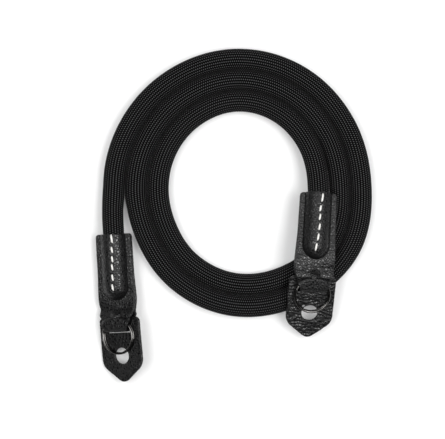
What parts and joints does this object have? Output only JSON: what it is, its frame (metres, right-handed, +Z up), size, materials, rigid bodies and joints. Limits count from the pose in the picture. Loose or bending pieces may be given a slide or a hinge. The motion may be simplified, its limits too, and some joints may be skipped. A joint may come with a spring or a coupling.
{
  "type": "coiled camera strap",
  "caption": "Woven rope camera strap lying in a flat coil, with a leather tab, a split ring and a pointed leather bumper at each end.",
  "frame": {"origin": "on the floor, under the middle of the strap's bounding box", "axes": "+Z up out of the plane on which the strap lies; +Y from the ends' tips towards the far side of the coil; +X from the left end, on the floor, towards the right end, on top of the coil"},
  "size_m": [0.1358, 0.1636, 0.0227],
  "materials": {
    "woven_nylon": "matte black woven sleeve",
    "pebbled_leather": "semi-gloss black pebbled grain",
    "gunmetal": "polished dark gunmetal"
  },
  "bodies": {
    "root": {"rope": "woven_nylon", "tab_left": "pebbled_leather", "ring_left": "gunmetal", "bumper_left": "pebbled_leather", "tab_right": "pebbled_leather", "ring_right": "gunmetal", "bumper_right": "pebbled_leather"}
  },
  "joints": []
}
